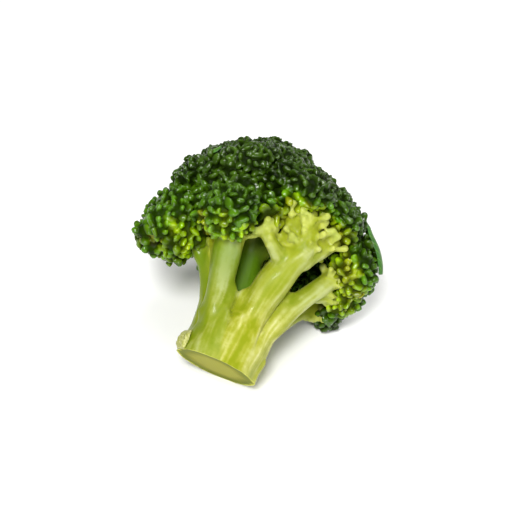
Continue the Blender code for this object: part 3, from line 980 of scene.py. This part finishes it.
cores["crown_heart"] = heart
crown_tree = tree_of(*joined(list(cores.values())))
florets = []
stem_tree = tree_of(*skin_of(stems))
for name in cores:
    core_points, core_faces = cores[name]
    neighbours = tree_of(*joined([cores[other] for other in cores if other != name]))
    places, ways = scattered(core_points, core_faces, 9000)
    open_air = gaps_to(neighbours, places + ways * 1.2 * MM, 4 * MM) > 1.0 * MM
    open_air &= np.linalg.norm(places[:, None] - knob_ends, axis=2).min(1) > CLEARING
    places, ways = places[open_air], ways[open_air]
    on_top = ramp((places - cut_middle) @ grows, *BUD_TOP)
    gaps = BUD_SPACING * (1 - 0.4 * on_top) * (1 + 0.35 * noise_at(places / BUD_PATCH))
    gaps *= RNG.uniform(0.75, 1.05, len(places))
    picked = spaced(places, gaps)
    places, ways, gaps, on_top = places[picked], ways[picked], gaps[picked], on_top[picked]
    bud_radius = gaps * BUD_RADIUS * RNG.uniform(0.88, 1.1, len(picked))
    length = RNG.uniform(0.9, 1.6, len(picked)) + 0.5 * on_top
    proud = RNG.uniform(0.95, 1.3, len(picked)) - 0.25 * on_top
    sizes = bud_radius[:, None] * np.stack([length, 0.95 / np.sqrt(length), proud], 1)
    bud_middles = places + ways * (bud_radius * BUD_RAISED)[:, None]
    shapes = PEBBLES[RNG.integers(0, len(PEBBLES), len(picked))]
    buds = balls(bud_middles, sizes, shapes, axes_about(ways, 0.25))
    floret = new_piece(name + "_buds", *joined([(core_points, core_faces), buds]))
    reskin(floret, FLORET_FACE if name in FLORETS else HEART_FACE, 1)

    skin_points = corners(floret.data)
    owner = nearest_of(bud_middles, skin_points)[:, 0]
    # How far each point stands above its core, as a share of its bud. The material paints the low points
    # darker, partly as painted shade.
    above = gaps_to(tree_of(core_points, core_faces), skin_points, 5 * MM) / (bud_radius[owner] * 1.8)
    height = (bud_middles - cut_middle) @ grows
    wander = noise_at(bud_middles / BUD_PATCH)
    from_stem = gaps_to(stem_tree, bud_middles, 12 * MM)
    young = YOUNG + SLOWER.get(name, 0) * (1 - ramp(height, *SLOW_TO))
    sunlit = 1 - ramp((from_stem + 2.5 * MM * wander) / young, -0.05, 1)
    sunlit *= sky_below(crown_tree, bud_middles + ways * 2 * MM)
    ripest = RIPE_BUD + (RIPEST_BUD - RIPE_BUD) * ramp(height, *RIPENS)
    ripe = PALEST_BUD + (1 - sunlit) * (ripest - PALEST_BUD) + BUDS_DARKER_BY.get(name, 0)
    tone = RNG.random(len(places)) + 0.9 * noise_at(bud_middles / TONE_PATCH)
    ripe += 0.2 * (tone - 0.5)
    set_values(floret, ripe=ripe[owner], rise=np.clip(above, 0, 1), tone=tone[owner])
    thin(floret, FLORET_THINNED * sum(len(face.vertices) - 2 for face in floret.data.polygons))
    drop_specks(floret)
    settle(floret)
    floret.data.shade_smooth()
    florets.append(floret)
    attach(floret, "root")
    if name in FLORETS:
        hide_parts(name)

# Waxy green buds: tight sepals under a bloom of wax, glossy at the tip and dull in the crevices. The crevices
# are painted darker: partly the buds' own deeper green low down, partly painted shade.
buds_skin, tree, shader = new_material(
    "waxy_green_buds",
    Specular_IOR_Level=0.03,
    Roughness=0.4,
    Coat_Roughness=0.08,
)
ripe, rise, tone = (
    add(tree, "ShaderNodeAttribute", {"attribute_name": name}).outputs["Fac"]
    for name in ("ripe", "rise", "tone")
)
base = colours_along(tree, ripe, [(0.0, "#A8AE14"), (0.3, "#7C9C04"), (0.6, "#4C7A02"), (1.0, "#35500A")])
# Painted shade: the deeper a point lies between the buds, the darker it is painted, partly for their own
# deeper green.
tip = add(tree, "ShaderNodeMath", {"operation": "POWER"}, _0=rise, _1=1.3).outputs[0]
painted_crevice_shade = add(tree, "ShaderNodeMath", {"operation": "MULTIPLY_ADD"}, _0=tip, _1=0.95, _2=0.12).outputs[0]
toned = add(tree, "ShaderNodeMath", {"operation": "MULTIPLY_ADD"}, _0=tone, _1=0.7, _2=0.65).outputs[0]
value = add(tree, "ShaderNodeMath", {"operation": "MULTIPLY"}, _0=painted_crevice_shade, _1=toned)
shaded = add(tree, "ShaderNodeHueSaturation", Value=value.outputs[0], Color=base)
tree.links.new(shaded.outputs["Color"], shader.inputs["Base Color"])
tree.links.new(tip, shader.inputs["Coat Weight"])
for floret in florets:
    floret.data.materials.append(buds_skin)

# ---------------------------------------------------------------------------------------------
# Bracts. Two small, smooth leaves grow between the florets and lie pressed against the buds, each with
# a midrib and side veins.

crown_root = (np.array(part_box("branch_core")[0]) + np.array(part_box("branch_core")[1])) / 2


def on_crown(shares):
    """Where the crown's outline is met by the way out from its root to a place among florets."""
    toward = sum(solids[name][0].mean(0) * share for name, share in shares.items()) - crown_root
    toward /= np.linalg.norm(toward)
    hit, way, _, _ = crown_outline.ray_cast(crown_root + toward * 150 * MM, -toward)
    return np.array(hit)


LANES = 9  # points across a leaf


def bract(name, stops, width, blunt, lifts, cup, thickness):
    """A leaf along the crown's outline through the stops, from its hidden root to its free end."""
    start, bend, end = (on_crown(stop) for stop in stops)
    line, share = bent(start, 2 * bend - (start + end) / 2, end)
    met = [crown_outline.find_nearest(place) for place in line]
    spine = np.array([hit[0] for hit in met])
    out = np.array([hit[1] for hit in met])
    across = unit(np.cross(out, np.gradient(spine, axis=0)))
    half = width / 2 * np.sin(math.pi * (0.12 + 0.86 * share) ** blunt) ** 0.7
    half *= 1 + 0.12 * noise_at(spine / (4 * MM))
    lanes = np.linspace(-1, 1, LANES)
    grid = spine[:, None] + across[:, None] * (half[:, None] * lanes)[..., None]
    lift = lifts[0] + (lifts[1] - lifts[0]) * ramp(share, 0, 0.4)
    dent = 0.036 * width * (1 - np.abs(lanes) ** 0.5) * (np.abs(lanes) < 0.3)
    grid += out[:, None] * (lift[:, None] - cup * lanes**2 - dent)[..., None]
    rows, columns = np.meshgrid(np.arange(len(line) - 1), np.arange(LANES - 1), indexing="ij")
    corner = (rows * LANES + columns).ravel()
    faces = np.stack([corner, corner + 1, corner + LANES + 1, corner + LANES], 1)
    leaf = new_piece(name, grid.reshape(-1, 3), faces)
    set_values(leaf, lane=np.tile(np.abs(lanes), len(line)), run=np.repeat(share, LANES))
    thick = leaf.modifiers.new("thick", "SOLIDIFY")
    thick.thickness = thickness
    thick.offset = 0
    smooth = leaf.modifiers.new("smooth", "SUBSURF")
    smooth.levels = 2
    smooth.render_levels = 2
    leaf.data.materials.append(bract_leaf)
    leaf.data.shade_smooth()
    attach(leaf, "root")


# Bract leaf: a thin, smooth green blade, brighter than the buds, with a soft shine.
bract_leaf, tree, shader = new_material("bract_leaf", Roughness=0.45)
place = add(tree, "ShaderNodeTexCoord").outputs["Object"]
mottle = add(tree, "ShaderNodeTexNoise", Vector=place, Scale=1 / (2.5 * MM), Detail=3.0).outputs["Fac"]
blade = colours_along(tree, mottle, [(0.3, "#24520E"), (0.6, "#356A12"), (0.85, "#4E8420")])
lane, run = (
    add(tree, "ShaderNodeAttribute", {"attribute_name": name}).outputs["Fac"]
    for name in ("lane", "run")
)
slant = add(tree, "ShaderNodeMath", {"operation": "MULTIPLY_ADD"}, _0=run, _1=9.0, _2=lane)
teeth = add(tree, "ShaderNodeMath", {"operation": "PINGPONG"}, _0=slant.outputs[0], _1=0.5)
side_vein = add(tree, "ShaderNodeMapRange", Value=teeth.outputs[0], From_Min=0.06, From_Max=0.0, To_Max=0.45)
midrib = add(tree, "ShaderNodeMapRange", Value=lane, From_Min=0.16, From_Max=0.04, To_Max=0.8)
veins = add(tree, "ShaderNodeMath", {"operation": "MAXIMUM"}, _0=side_vein.outputs[0], _1=midrib.outputs[0])
base = add(tree, "ShaderNodeMix", {"data_type": "RGBA"}, _0=veins.outputs[0], _6=blade, _7=colour("#8FAE4A"))
tree.links.new(base.outputs[2], shader.inputs["Base Color"])
bract(
    "bract_left",
    ({"floret_left_upper": 0.55, "floret_front_upper": 0.25, "floret_left_front": 0.2},
     {"floret_left_upper": 0.47, "floret_front_upper": 0.35, "floret_left_front": 0.18},
     {"floret_left_upper": 0.4, "floret_front_upper": 0.45, "floret_left_front": 0.15}),
    width=3.4 * MM, blunt=1.0, lifts=(1.0 * MM, 1.0 * MM), cup=0.6 * MM, thickness=0.7 * MM,
)
bract(
    "bract_right",
    ({"floret_right_upper": 0.5, "floret_top_right": 0.5},
     {"floret_right_upper": 0.5, "floret_right": 0.3, "floret_right_back": 0.2},
     {"floret_right": 0.9, "floret_right_low": 0.1}),
    width=12 * MM, blunt=1.7, lifts=(-1.5 * MM, 1.6 * MM), cup=2.2 * MM, thickness=1.0 * MM,
)

# ---------------------------------------------------------------------------------------------
# Floor, light and camera. A floor of matt white paper, the even light of big soft boxes, and one small
# one for the glints.

CAMERA_TURN = math.radians(25.05)
CAMERA_RISE = math.radians(47)
CAMERA_DISTANCE = 638 * MM
AIM_OFFSET = (1.9 * MM, -4.2 * MM)  # right and up of the head's middle

bpy.ops.mesh.primitive_plane_add(size=6)
floor = bpy.context.object
floor.name = "floor"
paper, tree, shader = new_material("white_paper", Base_Color=colour("#F4F4F2"), Roughness=0.8)
floor.data.materials.append(paper)

middle = (Vector(cad_box[0]) + Vector(cad_box[1])) / 2
back = Vector((
    math.sin(CAMERA_TURN) * math.cos(CAMERA_RISE),
    -math.cos(CAMERA_TURN) * math.cos(CAMERA_RISE),
    math.sin(CAMERA_RISE),
))
right = Vector((math.cos(CAMERA_TURN), math.sin(CAMERA_TURN), 0))
up = back.cross(right)
lens = bpy.data.cameras.new("camera")
lens.lens = 85
lens.sensor_width = 36
camera = bpy.data.objects.new("camera", lens)
camera.location = middle + back * CAMERA_DISTANCE + right * AIM_OFFSET[0] + up * AIM_OFFSET[1]
camera.rotation_euler = back.to_track_quat("Z", "Y").to_euler()
bpy.context.scene.collection.objects.link(camera)
bpy.context.scene.camera = camera


def soft_box(name, place, size, watts):
    """A square soft box that faces the head from place, in metres from its middle."""
    light = bpy.data.lights.new(name, "AREA")
    light.size = size
    light.energy = watts
    box = bpy.data.objects.new(name, light)
    box.location = middle + Vector(place)
    box.rotation_euler = Vector(place).to_track_quat("Z", "Y").to_euler()
    bpy.context.scene.collection.objects.link(box)


soft_box("key_box", (0.12, -0.48, 0.85), 0.28, 9.8)
soft_box("fill_box", (0.8, -0.6, 0.5), 0.5, 4)
soft_box("back_box", (0.1, 0.6, 0.9), 0.5, 6.5)
soft_box("glint_box", (-0.15, -0.7, 0.6), 0.06, 1.3)

world = bpy.data.worlds.new("studio")
world.use_nodes = True
world.node_tree.nodes["Background"].inputs["Color"].default_value = (1, 1, 1, 1)
world.node_tree.nodes["Background"].inputs["Strength"].default_value = 0.18
bpy.context.scene.world = world
bpy.context.scene.view_settings.view_transform = "Standard"
